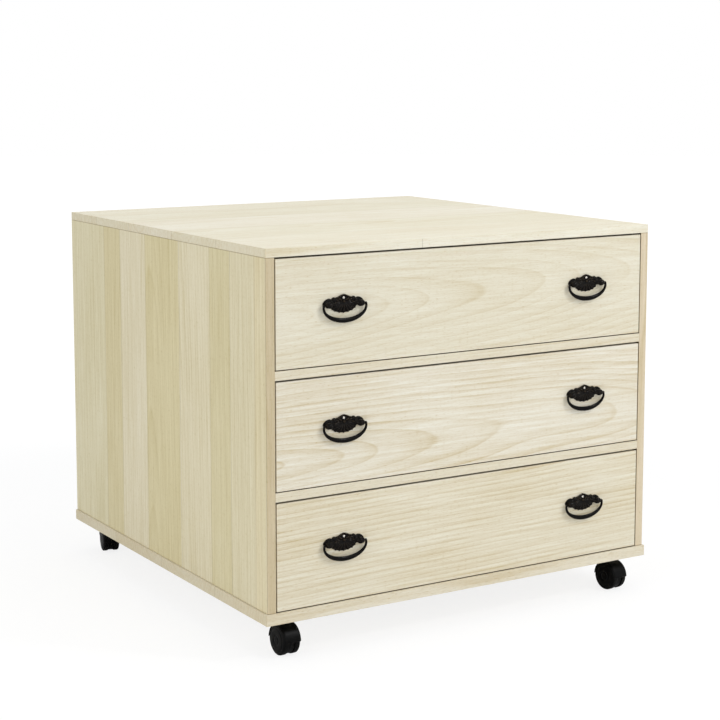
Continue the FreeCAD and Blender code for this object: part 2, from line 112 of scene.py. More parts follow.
# Paulownia, planed and left bare. Slow pale wood with one soft brown ring line a year, cut by the
# plane into stripes and arches; the plane leaves it silky, so it scatters nearly all light.
def paulownia(name, board):
    material, tree, shader = newMaterial(name)
    calc = lambda kind, *values: addNode(
        tree, "Math", dict(enumerate(values)), operation=kind).outputs[0]
    place = addNode(tree, "TexCoord", {}).outputs["Object"]
    axes = addNode(tree, "SeparateXYZ", {0: place}).outputs
    along, across, deep = [axes["XYZ".index(axis)] for axis in board["axes"]]
    across = calc("SUBTRACT", across, board["middle"][0])
    deep = calc("MULTIPLY", calc("SUBTRACT", deep, board["middle"][1]), board["inward"])

    # staves are glued side by side, and each has its own rings, tone and place of the pith
    edges = board["staves"]
    span = edges[-1] - edges[0]
    share = calc("DIVIDE", calc("SUBTRACT", across, edges[0]), span)
    staves = [(max(0.0, (edge - edges[0]) / span), stave)
              for edge, stave in zip(edges, board["tones"])]
    tone = addRamp(tree, share, [(spot, linear(stave[0])) for spot, stave in staves], "CONSTANT")
    cut = addRamp(tree, share, [(spot, (stave[1], stave[2], stave[3], 1.0))
                                for spot, stave in staves], "CONSTANT")
    pith = addNode(tree, "SeparateColor", {0: cut}).outputs
    shift = calc("MULTIPLY", pith[0], 0.3)

    # the trunk bends and swells slowly
    slow = addNode(tree, "CombineXYZ", {0: calc("MULTIPLY", along, board["bend"]),
                                        1: calc("ADD", across, shift), 2: deep}).outputs[0]
    drift = addNode(tree, "TexNoise", {"Vector": slow, "Scale": 4.5, "Detail": 2.0,
                                       "Roughness": 0.45}).outputs["Color"]
    drift = addNode(tree, "SeparateColor", {0: drift}).outputs
    swayed = calc("MULTIPLY_ADD", calc("SUBTRACT", drift[0], 0.5), board["sway"], across)
    swollen = calc("MULTIPLY_ADD", calc("SUBTRACT", drift[1], 0.5), board["swell"], deep)
    side = calc("SUBTRACT", swayed, calc("MULTIPLY", calc("SUBTRACT", pith[1], 0.5), 0.4))
    side = calc("MULTIPLY_ADD", along, board["lean"], side)
    depth = calc("MULTIPLY_ADD", pith[2], 0.2, swollen)
    depth = calc("MULTIPLY_ADD", along, board["tilt"], depth)
    radius = addNode(tree, "VectorMath", {0: addNode(
        tree, "CombineXYZ", {0: side, 1: depth, 2: 0.0}).outputs[0]},
        operation="LENGTH").outputs["Value"]

    # wide and narrow years
    years = addNode(tree, "TexNoise", {"W": calc("ADD", radius, shift), "Scale": 45.0,
                                       "Detail": 1.0}, noise_dimensions="1D").outputs["Fac"]
    ring = calc("DIVIDE", calc("MULTIPLY_ADD", years, board["ring"] * 1.6, radius), board["ring"])
    ring = calc("FRACT", ring)
    line = addRamp(tree, ring, [(0.0, (0.1, 0.1, 0.1, 1.0)), (0.45, (0.16, 0.16, 0.16, 1.0)),
                                (0.80, (0.55, 0.55, 0.55, 1.0)), (0.92, (1.0, 1.0, 1.0, 1.0)),
                                (1.0, (0.1, 0.1, 0.1, 1.0))], "EASE")

    # fibres run along the grain, and open pores lie between them as short grooves
    lengthways = addNode(tree, "CombineXYZ", {0: calc("MULTIPLY", along, 0.03), 1: across,
                                              2: deep}).outputs[0]
    fibre = addNode(tree, "TexNoise", {"Vector": lengthways, "Scale": 900.0, "Detail": 3.0,
                                       "Roughness": 0.65}).outputs["Fac"]
    streak = addNode(tree, "TexNoise", {"Vector": lengthways, "Scale": 170.0, "Detail": 3.0,
                                        "Roughness": 0.6}).outputs["Fac"]
    dashes = addNode(tree, "CombineXYZ", {0: calc("MULTIPLY", along, 0.09), 1: across,
                                          2: deep}).outputs[0]
    pores = addNode(tree, "TexNoise", {"Vector": dashes, "Scale": 1500.0,
                                       "Detail": 0.0}).outputs["Fac"]
    pores = addNode(tree, "MapRange", {"Value": pores, "From Min": 0.66, "From Max": 0.74},
                    interpolation_type="SMOOTHSTEP").outputs["Result"]
    patch = addNode(tree, "TexNoise", {"Vector": slow, "Scale": 9.0,
                                       "Detail": 1.0}).outputs["Fac"]

    # how dark each part makes the wood
    strength = calc("MULTIPLY_ADD", patch, 1.3, -0.1)
    dark = calc("MULTIPLY", calc("MULTIPLY", line, strength), board["contrast"])
    dark = calc("MULTIPLY_ADD", calc("SUBTRACT", streak, 0.5), board["streaks"], dark)
    dark = calc("MULTIPLY_ADD", calc("SUBTRACT", fibre, 0.5), 0.75, dark)
    dark = calc("MULTIPLY_ADD", calc("SUBTRACT", patch, 0.5), board["patches"], dark)
    dark = calc("MULTIPLY_ADD", pores, 0.35, dark)
    colour = addNode(tree, "Mix", {0: dark, 6: tone, 7: addNode(
        tree, "Mix", {0: 1.0, 6: tone, 7: linear(board["stain"])}, data_type="RGBA",
        blend_type="MULTIPLY").outputs[2]}, data_type="RGBA", clamp_factor=False).outputs[2]
    # a strip at the front edge has its own tone, and faces inside the case get painted shade: a
    # dark brown that stands for the shade in the gaps and inside the case
    tintsAndShade = []
    if "fore" in board:
        tintsAndShade.append((calc("LESS_THAN", across, board["fore"][0]), board["fore"][1]))
    if "inside" in board:
        spot = addNode(tree, "CombineXYZ", {0: along, 1: across, 2: deep}).outputs[0]
        middle, reach = zip(*board["inside"])
        spot = addNode(tree, "VectorMath", {0: spot, 1: middle}, operation="SUBTRACT").outputs[0]
        spot = addNode(tree, "VectorMath", {0: spot}, operation="ABSOLUTE").outputs[0]
        spot = addNode(tree, "VectorMath", {0: spot, 1: reach}, operation="SUBTRACT").outputs[0]
        spot = addNode(tree, "SeparateXYZ", {0: spot}).outputs
        worst = calc("MAXIMUM", calc("MAXIMUM", spot[0], spot[1]), spot[2])
        # painted shade: faces within the box are multiplied by a dark brown
        tintsAndShade.append((calc("LESS_THAN", worst, 0.0), "#6c593d"))
    for mask, tint in tintsAndShade:
        colour = addNode(tree, "Mix", {0: mask, 6: colour, 7: linear(tint)}, data_type="RGBA",
                         blend_type="MULTIPLY").outputs[2]

    # the ends of the fibres soak up more light
    end = calc("GREATER_THAN", calc("ABSOLUTE", calc("SUBTRACT", along, board["ends"][0])),
               board["ends"][1] - 0.0006)
    colour = addNode(tree, "Mix", {0: calc("MULTIPLY", end, 0.30), 6: colour,
                                   7: linear("#cdbb8c")}, data_type="RGBA").outputs[2]
    # glue lines where two staves or two boards meet, and painted shade: a dark line where the side
    # panels meet the top and base
    gaps = [(calc("ABSOLUTE", calc("SUBTRACT", across, edge)), 0.3) for edge in edges[1:-1]]
    if "butt" in board:
        gaps.append((calc("ADD", calc("ABSOLUTE", calc("SUBTRACT", along, board["butt"])),
                          calc("GREATER_THAN", across, edges[0] + 0.0036)), 0.35))
    if "fore" in board:
        gaps.append((calc("ABSOLUTE", calc("SUBTRACT", across, board["fore"][0])), 0.6))
    # painted shade along the lines where the side panels meet the top and base panels
    if "joint" in board:
        reach = calc("ABSOLUTE", calc("SUBTRACT", along, board["ends"][0]))
        gaps.append((calc("ABSOLUTE", calc("SUBTRACT", reach, board["joint"])), 0.6))
    for gap, depth in gaps:
        seam = addNode(tree, "MapRange", {"Value": gap, "From Min": 0.0003, "From Max": 0.0010,
                                          "To Min": depth, "To Max": 0.0}).outputs["Result"]
        colour = addNode(tree, "Mix", {0: seam, 6: colour, 7: linear("#8f7c58")},
                         data_type="RGBA").outputs[2]
    height = calc("MULTIPLY_ADD", fibre, 0.6, calc("MULTIPLY", line, -0.25))
    height = calc("MULTIPLY_ADD", pores, -0.9, height)
    bump = addNode(tree, "Bump", {"Height": height, "Strength": 0.35, "Distance": 0.00025})
    tree.links.new(colour, shader.inputs["Base Color"])
    tree.links.new(bump.outputs["Normal"], shader.inputs["Normal"])
    tree.links.new(calc("MULTIPLY_ADD", fibre, 0.18, 0.52), shader.inputs["Roughness"])
    shader.inputs["IOR"].default_value = 1.5
    shader.inputs["Specular IOR Level"].default_value = 0.35
    return material


# what the boards share, in metres; middle and ends are places on the across, deep and along axes
plain = {"inward": 1, "bend": 0.35, "sway": 0.02, "swell": 0.05, "lean": 0.0, "tilt": 0.05,
         "ring": 0.009, "contrast": 0.52, "patches": 0.28, "streaks": 0.75, "staves": [-0.4, 0.4],
         "stain": "#dac89c",
         "tones": [("#ece5d0", 0.3, 0.5, 0.3)]}
upright = dict(plain, axes="ZYX", ends=(0.352, 0.290))
level = dict(plain, axes="XZY", middle=(0.0, -0.372), ends=(0.0, 0.3552))
flat = dict(plain, axes="XYZ", ends=(0.0, 0.372))
sideStaves = [-0.375, -0.336, -0.256, -0.186, -0.076, 0.054, 0.158, 0.228, 0.375]
sideTones = [("#e7dbb7", 0.10, 0.9, 0.3), ("#e5dbba", 0.55, 0.2, 0.2), ("#e0d5ad", 0.80, 0.7, 0.4),
             ("#e9dfc0", 0.25, 0.4, 0.2), ("#e0d4aa", 0.65, 0.6, 0.3), ("#e9dfc1", 0.40, 0.3, 0.4),
             ("#e0d4ab", 0.90, 0.8, 0.2), ("#e6ddbb", 0.20, 0.5, 0.2)]
# inside: middles and half sizes on the along, across and deep axes of the box where a board gets
# painted shade
inner = (0.0, 1.0)  # middle and half size of the whole length or width
boards = {
    "top_panel": dict(flat, middle=(0.0, 0.640), inward=-1, contrast=0.5, butt=-0.091,
                      inside=((0.0, 0.357), (0.0, 0.371), (0.014, 0.001)),
                      staves=[-0.375, -0.21, -0.05, 0.12, 0.26, 0.375],
                      tones=[("#f1ebd6", 0.7, 0.5, 0.25), ("#efe9d3", 0.2, 0.3, 0.35),
                             ("#f2ecd9", 0.5, 0.7, 0.2), ("#eee8d2", 0.9, 0.4, 0.4),
                             ("#f0ead5", 0.1, 0.6, 0.3)]),
    "base_panel": dict(flat, middle=(0.0, 0.078), inward=-1, ends=(0.0, 0.375), contrast=0.55,
                       inside=((0.0, 0.357), (0.0, 0.371), (0.0, 0.0005)),
                       staves=[-0.375, -0.2, 0.0, 0.19, 0.375],
                       tones=[("#e8dfc8", 0.6, 0.5, 0.3), ("#e9e1cb", 0.2, 0.3, 0.3),
                              ("#e7dec7", 0.5, 0.6, 0.2), ("#e9e1cb", 0.8, 0.4, 0.3)]),
    "back_panel": dict(level, middle=(0.352, 0.375), inward=-1, ends=(0.0, 0.3639), contrast=0.6,
                       staves=[-0.29, -0.12, 0.06, 0.29],
                       tones=[("#e9e0c6", 0.6, 0.4, 0.25), ("#e6dcc0", 0.3, 0.6, 0.2),
                              ("#eae1c9", 0.8, 0.5, 0.3)]),
    "left_side_panel": dict(upright, middle=(0.0, -0.372), staves=sideStaves, tones=sideTones,
                            contrast=0.42, streaks=0.85, stain="#d3c78f", joint=0.2738,
                            fore=(-0.3712, "#f4efee"),
                            inside=(inner, (0.629, 1.0), (0.016, 0.0015))),
    "right_side_panel": dict(upright, middle=(0.0, 0.372), inward=-1, staves=sideStaves,
                             contrast=0.42, streaks=0.85, stain="#d3c78f",
                             tones=[("#efe7cf", 0.20, 0.5, 0.2)] + sideTones[-2::-1],
                             joint=0.2738, fore=(-0.3712, "#fdf5ee"),
                             inside=(inner, (0.629, 1.0), (0.016, 0.0015))),
    "upper_drawer_front": dict(level, middle=(0.539, -0.372), swell=0.035, tilt=0.10, sway=0.02,
                               lean=-0.05, contrast=0.46, tones=[("#ebe4ce", 0.55, 0.52, 0.26)]),
    "middle_drawer_front": dict(level, middle=(0.3514, -0.372), swell=0.06, tilt=0.08, sway=0.03,
                                lean=-0.03, contrast=0.72, streaks=1.3,
                                tones=[("#ede6d3", 0.15, 0.42, 0.22)]),
    "lower_drawer_front": dict(level, middle=(0.1639, -0.372), swell=0.03, tilt=0.01, sway=0.02,
                               lean=-0.03, ring=0.0085, contrast=0.78, streaks=1.25,
                               tones=[("#eae2cb", 0.85, 0.95, 0.25)]),
    "upper_front_rail": dict(level, middle=(0.4457, -0.372), ends=(0.0, 0.4),
                             inside=(inner, inner, (0.501, 0.5)),
                             tones=[("#e9e1ca", 0.35, 0.8, 0.3)]),
    "lower_front_rail": dict(level, middle=(0.2582, -0.372), ends=(0.0, 0.4),
                             inside=(inner, inner, (0.501, 0.5)),
                             tones=[("#e8e0c9", 0.75, 0.2, 0.3)]),
    "rear_rails": dict(level, middle=(0.4, 0.33), ends=(0.0, 0.3619)),
    "runners": dict(plain, axes="YZX", middle=(0.4, 0.35), ends=(0.0, 0.329)),
    "drawer_walls": dict(plain, axes="YZX", middle=(0.2, -0.355), ends=(0.0, 0.3595),
                         tones=[("#eae2cb", 0.45, 0.6, 0.2)]),
    "drawer_backs": dict(level, middle=(0.2, 0.3595), inward=-1),
    "drawer_bottoms": dict(flat, middle=(0.0, 0.095), inward=-1, ends=(0.0, 0.3487),
                           staves=[-0.36, -0.18, 0.0, 0.18, 0.36],
                           tones=[("#ece4ce", 0.6, 0.5, 0.3), ("#e8dfc8", 0.2, 0.3, 0.3),
                                  ("#ede5d0", 0.5, 0.6, 0.2), ("#e9e1ca", 0.8, 0.4, 0.3)]),
    "drawer_battens": dict(plain, axes="YXZ", middle=(0.0, 0.08), ends=(0.0, 0.3557)),
}
# which board a node is cut from, where it isn't one of its own
shared = {"rear_rail": "rear_rails", "runners": "runners", "side": "drawer_walls",
          "drawer_back": "drawer_backs", "bottom": "drawer_bottoms", "batten": "drawer_battens"}
wood = {name: paulownia("Paulownia, planed, " + name.replace("_", " "), board)
        for name, board in boards.items()}
print("wood ready:", len(wood))


def linkMesh(name, shape, materials, nodes):
    mesh = bpy.data.meshes.new(name)
    shape.to_mesh(mesh)
    shape.free()
    piece = bpy.data.objects.new(name, mesh)
    scene.collection.objects.link(piece)
    for material in materials:
        mesh.materials.append(material)
    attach(piece, body_of(frame["nodes"][nodes[0]])[0])
    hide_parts(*nodes)
    return piece


# boards: the CAD shape with its arrises eased by a plane stroke
arris = {"width": 0.0006, "steps": 2, "turn": math.radians(30)}
for name, node in frame["nodes"].items():
    hasOwn = name in boards
    kind = name if hasOwn else next((shared[part] for part in shared if name.endswith(part)), None)
    if kind is None:
        continue
    shape = bmesh.new()
    shape.from_mesh(node.data)
    for face in shape.faces:
        face.material_index = 0
        face.smooth = False
    bmesh.ops.remove_doubles(shape, verts=shape.verts, dist=1e-6)
    bmesh.ops.dissolve_limit(shape, angle_limit=0.01, verts=shape.verts, edges=shape.edges)
    bmesh.ops.recalc_face_normals(shape, faces=shape.faces)
    bmesh.ops.bevel(shape, geom=[edge for edge in shape.edges
                                 if edge.calc_face_angle(0.0) > arris["turn"]],
                    offset=arris["width"], offset_type="OFFSET", segments=arris["steps"],
                    profile=0.5, affect="EDGES", material=-1, clamp_overlap=True)
    linkMesh(name.replace("_", "-") + "-board", shape, [wood[kind]], [name])
print("boards ready")


# Iron under black lacquer baked on by the smith: the hammered skin shows through as a soft ripple,
# and the lacquer gives it a satin sheen.
def blackIron():
    material, tree, shader = newMaterial("Iron, hammered, black baked lacquer")
    place = addNode(tree, "TexCoord", {}).outputs["Object"]
    dents = addNode(tree, "TexVoronoi", {"Vector": place, "Scale": 420.0, "Smoothness": 1.0},
                    feature="SMOOTH_F1").outputs["Distance"]
    grit = addNode(tree, "TexNoise", {"Vector": place, "Scale": 2600.0,
                                      "Detail": 2.0}).outputs["Fac"]
    wear = addNode(tree, "TexNoise", {"Vector": place, "Scale": 160.0,
                                      "Detail": 3.0}).outputs["Fac"]
    height = addNode(tree, "Math", {0: grit, 1: 0.12, 2: dents},
                     operation="MULTIPLY_ADD").outputs[0]
    bump = addNode(tree, "Bump", {"Height": height, "Strength": 0.30, "Distance": 0.0004})
    # brown on the ridges, which the plates mark, is painted highlight where the raised petals catch
    # the light, and also lacquer that polishing has worn down to brown there
    ridge = addNode(tree, "Attribute", {}, attribute_name="ridge").outputs["Fac"]
    ridgeHighlightAndWear = addNode(tree, "MapRange", {"Value": ridge, "From Min": 0.009,
                                      "From Max": 0.032}).outputs["Result"]
    lacquer = addRamp(tree, wear, [(0.35, linear("#040303")), (0.7, linear("#0e0a07"))])
    # painted highlight and wear: the ridges turn brown
    lacquer = addNode(tree, "Mix", {0: ridgeHighlightAndWear, 6: lacquer, 7: linear("#352c20")},
                      data_type="RGBA").outputs[2]
    tree.links.new(lacquer, shader.inputs["Base Color"])
    rough = addNode(tree, "MapRange", {"Value": wear, "From Min": 0.3, "From Max": 0.7,
                                       "To Min": 0.11, "To Max": 0.20}).outputs["Result"]
    tree.links.new(rough, shader.inputs["Roughness"])
    tree.links.new(bump.outputs["Normal"], shader.inputs["Normal"])
    shader.inputs["IOR"].default_value = 1.5
    shader.inputs["Specular IOR Level"].default_value = 0.09
    return material


# Steel left bright from the hammer: small facets, each of which catches the light.
def brightSteel():
    material, tree, shader = newMaterial("Steel, forged bright nail head")
    place = addNode(tree, "TexCoord", {}).outputs["Object"]
    facets = addNode(tree, "TexVoronoi", {"Vector": place, "Scale": 900.0}).outputs["Distance"]
    bump = addNode(tree, "Bump", {"Height": facets, "Strength": 0.25, "Distance": 0.0002})
    shader.inputs["Base Color"].default_value = linear("#c9c4bb")
    shader.inputs["Metallic"].default_value = 1.0
    shader.inputs["Roughness"].default_value = 0.26
    tree.links.new(bump.outputs["Normal"], shader.inputs["Normal"])
    return material


# Steel with a barrel-plated zinc coat: bluish grey, with a fine even mottle.
def zincSteel():
    material, tree, shader = newMaterial("Steel, zinc plated")
    place = addNode(tree, "TexCoord", {}).outputs["Object"]
    mottle = addNode(tree, "TexNoise", {"Vector": place, "Scale": 700.0,
                                        "Detail": 3.0}).outputs["Fac"]
    bump = addNode(tree, "Bump", {"Height": mottle, "Strength": 0.12, "Distance": 0.0001})
    shader.inputs["Metallic"].default_value = 1.0
    tree.links.new(addRamp(tree, mottle, [(0.3, linear("#b3b6b9")), (0.7, linear("#cfd1d3"))]),
                   shader.inputs["Base Color"])
    rough = addNode(tree, "MapRange", {"Value": mottle, "To Min": 0.28,
                                       "To Max": 0.42}).outputs["Result"]
    tree.links.new(rough, shader.inputs["Roughness"])
    tree.links.new(bump.outputs["Normal"], shader.inputs["Normal"])
    return material


# Nylon, moulded black against a spark-eroded mould: a fine even grain that dulls the light.
def blackNylon(name, roughness):
    material, tree, shader = newMaterial(name)
    place = addNode(tree, "TexCoord", {}).outputs["Object"]
    grain = addNode(tree, "TexNoise", {"Vector": place, "Scale": 3000.0, "Detail": 2.0,
                                       "Roughness": 0.6}).outputs["Fac"]
    scuff = addNode(tree, "TexNoise", {"Vector": place, "Scale": 220.0,
                                       "Detail": 4.0}).outputs["Fac"]
    bump = addNode(tree, "Bump", {"Height": grain, "Strength": 0.35, "Distance": 0.00012})
    tree.links.new(addRamp(tree, scuff, [(0.4, linear("#020202")), (0.8, linear("#070708"))]),
                   shader.inputs["Base Color"])
    rough = addNode(tree, "MapRange", {"Value": scuff, "To Min": roughness - 0.06,
                                       "To Max": roughness + 0.08}).outputs["Result"]
    tree.links.new(rough, shader.inputs["Roughness"])
    tree.links.new(bump.outputs["Normal"], shader.inputs["Normal"])
    shader.inputs["IOR"].default_value = 1.53
    shader.inputs["Specular IOR Level"].default_value = 0.08
    return material


iron = blackIron()
steel = brightSteel()
zinc = zincSteel()
treadNylon = blackNylon("Nylon, moulded black, wheel", 0.42)
hoodNylon = blackNylon("Nylon, moulded black, hood", 0.36)
for name, node in frame["nodes"].items():
    if name.endswith(("axle", "stems", "nuts")):
        node.data.materials.clear()
        node.data.materials.append(zinc)


# a ball stretched to three half sizes, put at a place
def addBall(shape, halves, place, turn=0.0, segments=24):
    matrix = (Matrix.Translation(place) @ Matrix.Rotation(turn, 4, "Y")
              @ Matrix.Diagonal((*halves, 1.0)))
    return bmesh.ops.create_uvsphere(shape, u_segments=segments, v_segments=segments // 2,
                                     radius=1.0, matrix=matrix)["verts"]


# one skin round all the overlapping bodies in a bmesh, smoothed
def oneSkin(shape, voxel, rounds):
    mesh = bpy.data.meshes.new("skin")
    shape.to_mesh(mesh)
    shape.free()
    draft = bpy.data.objects.new("skin", mesh)
    scene.collection.objects.link(draft)
    remesh = draft.modifiers.new("skin", "REMESH")
    remesh.mode = "VOXEL"
    remesh.voxel_size = voxel
    remesh.adaptivity = 0.0
    done = draft.evaluated_get(bpy.context.evaluated_depsgraph_get()).to_mesh()
    skin = bmesh.new()
    skin.from_mesh(done)
    for step in range(rounds):
        bmesh.ops.smooth_vert(skin, verts=skin.verts, factor=0.5, use_axis_x=True,
                              use_axis_y=True, use_axis_z=True)
    for face in skin.faces:
        face.smooth = True
    bpy.data.objects.remove(draft)
    bpy.data.meshes.remove(mesh)
    return skin


# keeps how far each point stands out from its neighbours, in mm, evened out over them
def markRidges(skin, rounds):
    skin.normal_update()
    ridge = skin.verts.layers.float.new("ridge")
    near = {vert: [edge.other_vert(vert) for edge in vert.link_edges] for vert in skin.verts}
    for vert, others in near.items():
        middle = sum((other.co for other in others), Vector()) / len(others)
        vert[ridge] = (vert.co - middle).dot(vert.normal)
    for step in range(rounds):
        evened = {vert: (vert[ridge] + sum(other[ridge] for other in others) / len(others)) / 2
                  for vert, others in near.items()}
        for vert, value in evened.items():
            vert[ridge] = value


# Handle plate, about the bail's axis: X right, Z up, -Y out of the drawer front at Y 0.
# The axis stands 6 in front of the drawer.
plate = {
    "thick": 1.6, "shellHalf": (24.4, 12.9), "shellMiddle": -0.8, "hub": 4.0, "lobes": 9,
    "petalWidth": 3.9, "petalHeight": 3.1, "reach": (25.2, 13.7),
    "roof": {"half": 13.6, "peak": 15.3, "eaves": 9.6, "low": 1.0},
    "crownLobes": ((17.4, 6.9, 4.6, 4.3), (22.3, 3.2, 3.6, 3.9)),
    # leaves between the peak and the outer lobes: x, z, turn and half length
    "crownLeaves": ((6.6, 7.4, 0.50, 3.8), (12.2, 6.6, 0.20, 4.2), (10.8, 3.6, -0.05, 5.2)),
    "crownLeafHalf": (2.0, 1.5), "crownLobeHalf": 2.7,
    "roofEdge": {"middle": (6.6, 12.2), "half": (7.6, 1.5, 1.0), "turn": 0.395},
    "eaveBead": {"middle": (12.6, 9.7), "half": (1.9, 2.0, 1.3), "turn": 0.4},
    "boss": (3.0, 3.4, 2.6), "discTop": 7.0,
    "axis": -6.0, "ear": {"middle": 27.9, "half": 7.2, "radius": 5.3},
    "post": {"middle": 27.0, "size": (8.5, 6.0, 4.4)},
    "root": {"middle": (22.0, -2.4, 0.6), "half": (5.0, 4.0, 4.4)},
    "leaf": {"middle": (29.4, 3.9), "half": (8.6, 1.7, 4.7), "turn": 0.49, "sunk": 0.4},
    "earRidge": {"middle": (17.0, 2.2), "half": (3.4, 1.2, 1.0), "turn": 0.5, "stand": 2.0},
    "voxel": 0.42, "clear": 0.02,
}


def shellSpot(turn, grow=0.0):
    return Vector(((plate["reach"][0] + grow) * math.cos(turn), 0.0,
                   (plate["reach"][1] + grow) * math.sin(turn) + plate["shellMiddle"]))


def handlePlate():
    shape = bmesh.new()
    thick = plate["thick"]
    # the flat under the petals
    halves = (plate["shellHalf"][0], thick, plate["shellHalf"][1])
    disc = bmesh.ops.create_cone(shape, cap_ends=True, segments=96, radius1=1.0, radius2=0.96,
                                 depth=1.0, matrix=Matrix.Translation(
                                     (0.0, -thick / 2, plate["shellMiddle"]))
                                 @ Matrix.Diagonal((*halves, 1.0))
                                 @ Matrix.Rotation(math.pi / 2, 4, "X"))
    for vert in disc["verts"]:
        vert.co.z = min(vert.co.z, plate["discTop"])
    # petals fan from the hub to the edge, wide at their ends
    hub = Vector((0.0, 0.0, plate["hub"]))
    step = math.pi / plate["lobes"]
    for lobe in range(plate["lobes"]):
        end = shellSpot(math.pi + (lobe + 0.5) * step)
        line = end - hub
        half = line.length / 2
        turn = math.atan2(-line.z, line.x)
        petal = addBall(shape, (half, plate["petalHeight"], 1.0), (0.0, 0.0, 0.0), segments=32)
        for vert in petal:
            share = (vert.co.x / half + 1.0) / 2
            width = plate["petalWidth"] * (0.22 + 0.78 * share ** 0.9)
            vert.co.z *= width * (1.0 - 0.25 * share ** 6)
            vert.co.y *= 0.55 + 0.45 * math.sin(math.pi * share ** 1.3)
        bmesh.ops.rotate(shape, cent=(0.0, 0.0, 0.0), matrix=Matrix.Rotation(turn, 3, "Y"),
                         verts=petal)
        bmesh.ops.translate(shape, vec=(hub + end) / 2 + Vector((0.0, -thick * 0.75, 0.0)),
                            verts=petal)
    # the crown: a roof with a ridge to its peak, and lobes that step down to the ears
    roof = plate["roof"]
    gable = bmesh.ops.create_cone(shape, cap_ends=True, segments=3, radius1=1.0, radius2=0.9,
                                  depth=1.0,
                                  matrix=Matrix.Rotation(math.pi / 2, 4, "X"))["verts"]
    for vert in gable:
        isPeak = abs(vert.co.x) < 0.1
        inset = 0.0 if vert.co.y > 0 else 0.6
        vert.co.x = 0.0 if isPeak else math.copysign(roof["half"] - inset, vert.co.x)
        vert.co.z = roof["peak"] - inset if isPeak else roof["eaves"]
        vert.co.y = 0.0 if vert.co.y > 0 else -thick
    bmesh.ops.create_cube(shape, size=1.0, matrix=Matrix.Translation(
        (0.0, -thick / 2, (roof["eaves"] + roof["low"]) / 2))
        @ Matrix.Diagonal((2 * roof["half"] - 2.0, thick, roof["eaves"] - roof["low"] + 0.6, 1.0)))
    for side in (-1, 1):
        for x, z, wide, high in plate["crownLobes"]:
            addBall(shape, (wide, plate["crownLobeHalf"], high), (side * x, -thick * 0.6, z))
        for x, z, turn, length in plate["crownLeaves"]:
            addBall(shape, (length, *plate["crownLeafHalf"]), (side * x, -thick, z),
                    turn=-side * turn)
        # a rounded edge follows the roof down to a bead at its eaves
        for part, depth in (("roofEdge", thick), ("eaveBead", thick * 0.8)):
            x, z = plate[part]["middle"]
            addBall(shape, plate[part]["half"], (side * x, -depth, z),
                    turn=side * plate[part]["turn"])
    # hub boss
    addBall(shape, plate["boss"], (0.0, -thick, plate["hub"]))
    # egg-shaped ears lie round the bail's axis, on a root that flows out of the plate
    ear, post, root = plate["ear"], plate["post"], plate["root"]
    leaf, ridge = plate["leaf"], plate["earRidge"]
    for side in (-1, 1):
        egg = addBall(shape, (ear["half"], ear["radius"], ear["radius"]), (0.0, 0.0, 0.0),
                      segments=32)
        for vert in egg:
            share = min(0.98, max(-1.0, vert.co.x * side / ear["half"]))
            blunt = (1.0 - share ** 3) ** (1 / 3) / (1.0 - share ** 2) ** 0.5 if share > 0 else 1.0
            slim = blunt * (1.0 - 0.12 * max(0.0, share)) * (1.0 - 0.30 * max(0.0, -share) ** 2)
            vert.co.y *= slim
            vert.co.z *= slim
        bmesh.ops.translate(shape, vec=(side * ear["middle"], plate["axis"], 0.0), verts=egg)
        bmesh.ops.create_cube(shape, size=1.0, matrix=Matrix.Translation(
            (side * post["middle"], plate["axis"] / 2, 0.0))
            @ Matrix.Diagonal((*post["size"], 1.0)))
        x, y, z = root["middle"]
        addBall(shape, root["half"], (side * x, y, z))
        # a leaf lies flat on the wood behind the ear and the end of the bail
        x, z = leaf["middle"]
        addBall(shape, leaf["half"], (side * x, -leaf["sunk"], z), turn=side * leaf["turn"])
        # ridge on the petal next to the ear
        x, z = ridge["middle"]
        addBall(shape, ridge["half"], (side * x, -thick - ridge["stand"], z),
                turn=side * ridge["turn"])
    skin = oneSkin(shape, plate["voxel"], 2)
    # nothing reaches into the wood
    for vert in skin.verts:
        vert.co.y = min(vert.co.y, -plate["clear"])
    markRidges(skin, 3)
    return skin


# Bail: a crescent between two arcs, thickest at the bottom, with pins turned inward
bail = {"half": 40.0, "drop": 28.9, "shoulder": 4.0, "endWidth": 3.6, "middleWidth": 7.7,
        "depth": 4.6, "pin": 1.4, "pinReach": 10.5, "stations": 48, "sides": 20, "voxel": 0.40,
        "collar": {"half": (1.8, 2.1, 1.9), "inset": 2.5, "drop": 0.2}}


# a point of one of the bail's half ellipses, share of the way from its bottom to an end
def arcSpot(half, drop, share):
    rise = drop - bail["shoulder"]
    turn = share * (math.pi / 2 + math.asin(bail["shoulder"] / rise))
    return Vector((half * math.sin(turn), 0.0, -bail["shoulder"] - rise * math.cos(turn)))


